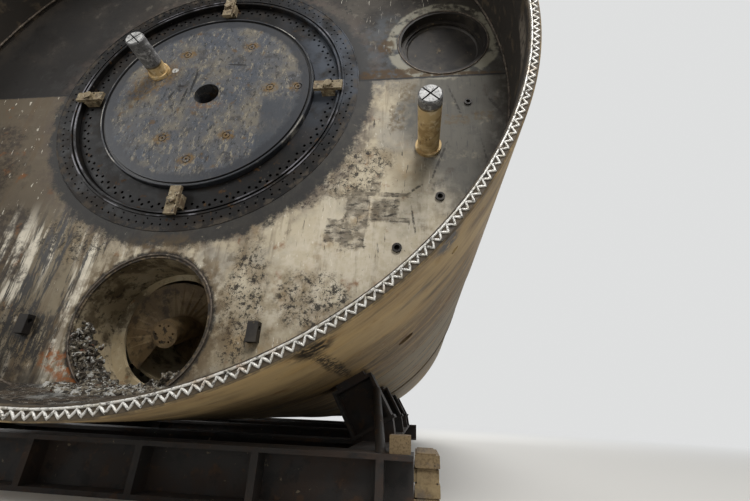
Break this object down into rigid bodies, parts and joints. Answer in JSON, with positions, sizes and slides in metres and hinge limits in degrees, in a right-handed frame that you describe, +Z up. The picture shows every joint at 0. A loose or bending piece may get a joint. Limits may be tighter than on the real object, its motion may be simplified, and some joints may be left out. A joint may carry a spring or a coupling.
{
  "type": "tunnel boring machine shield",
  "caption": "Shield of an earth-pressure tunnel boring machine, cutterhead off, on its cradle, with main bearing, screw conveyor, man lock, thrust rams and segment erector.",
  "frame": {"origin": "centre of the bearing flange's outer bolt circle, on its face and on the shield axis", "axes": "-Y out of the bulkhead towards the ground being cut, +Y along the shield axis to the tail, +X right seen from the front, +Z up"},
  "size_m": [6.6, 11.5096, 7.05],
  "materials": {
    "skin_steel": "weathered",
    "bulkhead_steel": "weathered",
    "hardfacing": "rough",
    "bearing_steel": "greasy",
    "disc_steel": "worn",
    "bar_steel": "muddy",
    "inner_steel": "satin",
    "drive_paint": "satin",
    "screw_steel": "worn",
    "cylinder_paint": "satin",
    "rod_chrome": "polished",
    "brush_wire": "rough",
    "erector_paint": "satin",
    "spoil": "rough",
    "cradle_steel": "rough",
    "timber": "raw"
  },
  "bodies": {
    "shield": {"front_skin": "skin_steel", "edge_hardfacing": "hardfacing", "bulkhead": "bulkhead_steel", "bulkhead_ribs": "inner_steel", "bulkhead_fittings": "bearing_steel", "bearing_flange": "bearing_steel", "centre_disc": "disc_steel", "mixing_bars": "bar_steel", "main_drive_housing": "inner_steel", "drive_motors": "drive_paint", "rotary_union": "inner_steel", "mouth_ring": "screw_steel", "screw_casing": "screw_steel", "screw_drive": "drive_paint", "screw_outlet": "screw_steel", "lock_chamber": "inner_steel", "lock_coaming": "bulkhead_steel", "spoil_heap": "spoil", "middle_skin": "skin_steel", "ring_frames": "inner_steel", "frame_ties": "inner_steel", "thrust_barrels": "cylinder_paint", "articulation_cylinders": "cylinder_paint", "screw_yoke": "inner_steel", "work_platforms": "inner_steel", "tail_skin": "skin_steel", "tail_brushes": "brush_wire", "erector_frame": "erector_paint", "cradle_rails": "cradle_steel", "cradle_cross_beams": "cradle_steel", "cradle_saddles": "cradle_steel", "cradle_struts": "cradle_steel", "timber_blocks": "timber"},
    "drive_ring": {"drive_ring": "bearing_steel", "lock_brackets": "bar_steel"},
    "auger": {"auger": "screw_steel"},
    "lock_door": {"lock_door": "bearing_steel"},
    "rams_top": {"rams_top": "rod_chrome"},
    "rams_left": {"rams_left": "rod_chrome"},
    "rams_bottom": {"rams_bottom": "rod_chrome"},
    "rams_right": {"rams_right": "rod_chrome"},
    "erector_ring": {"erector_ring": "erector_paint"},
    "erector_head": {"erector_head": "inner_steel"},
    "outlet_gate": {"outlet_gate": "inner_steel"}
  },
  "joints": [
    {"name": "drive_ring_turn", "type": "hinge", "parent": "shield", "child": "drive_ring", "pos_m": [0, 0, 0], "axis": [0, 1, 0], "continuous": true},
    {"name": "auger_turn", "type": "hinge", "parent": "shield", "child": "auger", "pos_m": [0, 0.344, -2.576], "axis": [0, 0.9272, 0.3746], "continuous": true},
    {"name": "lock_door_swing", "type": "hinge", "parent": "shield", "child": "lock_door", "pos_m": [2.12, 0.215, 0.652], "axis": [0, 0, 1], "range_deg": [0, 90]},
    {"name": "rams_top_push", "type": "slide", "parent": "shield", "child": "rams_top", "axis": [0, 1, 0], "range_m": [0, 2]},
    {"name": "rams_left_push", "type": "slide", "parent": "shield", "child": "rams_left", "axis": [0, 1, 0], "range_m": [0, 2]},
    {"name": "rams_bottom_push", "type": "slide", "parent": "shield", "child": "rams_bottom", "axis": [0, 1, 0], "range_m": [0, 2]},
    {"name": "rams_right_push", "type": "slide", "parent": "shield", "child": "rams_right", "axis": [0, 1, 0], "range_m": [0, 2]},
    {"name": "erector_turn", "type": "hinge", "parent": "shield", "child": "erector_ring", "pos_m": [0, 5.2, 0], "axis": [0, 1, 0], "range_deg": [-200, 200]},
    {"name": "erector_head_reach", "type": "slide", "parent": "erector_ring", "child": "erector_head", "axis": [0, 0, -1], "range_m": [0, 0.42]},
    {"name": "outlet_gate_open", "type": "slide", "parent": "shield", "child": "outlet_gate", "axis": [0, 0.9272, 0.3746], "range_m": [0, 0.62]}
  ]
}
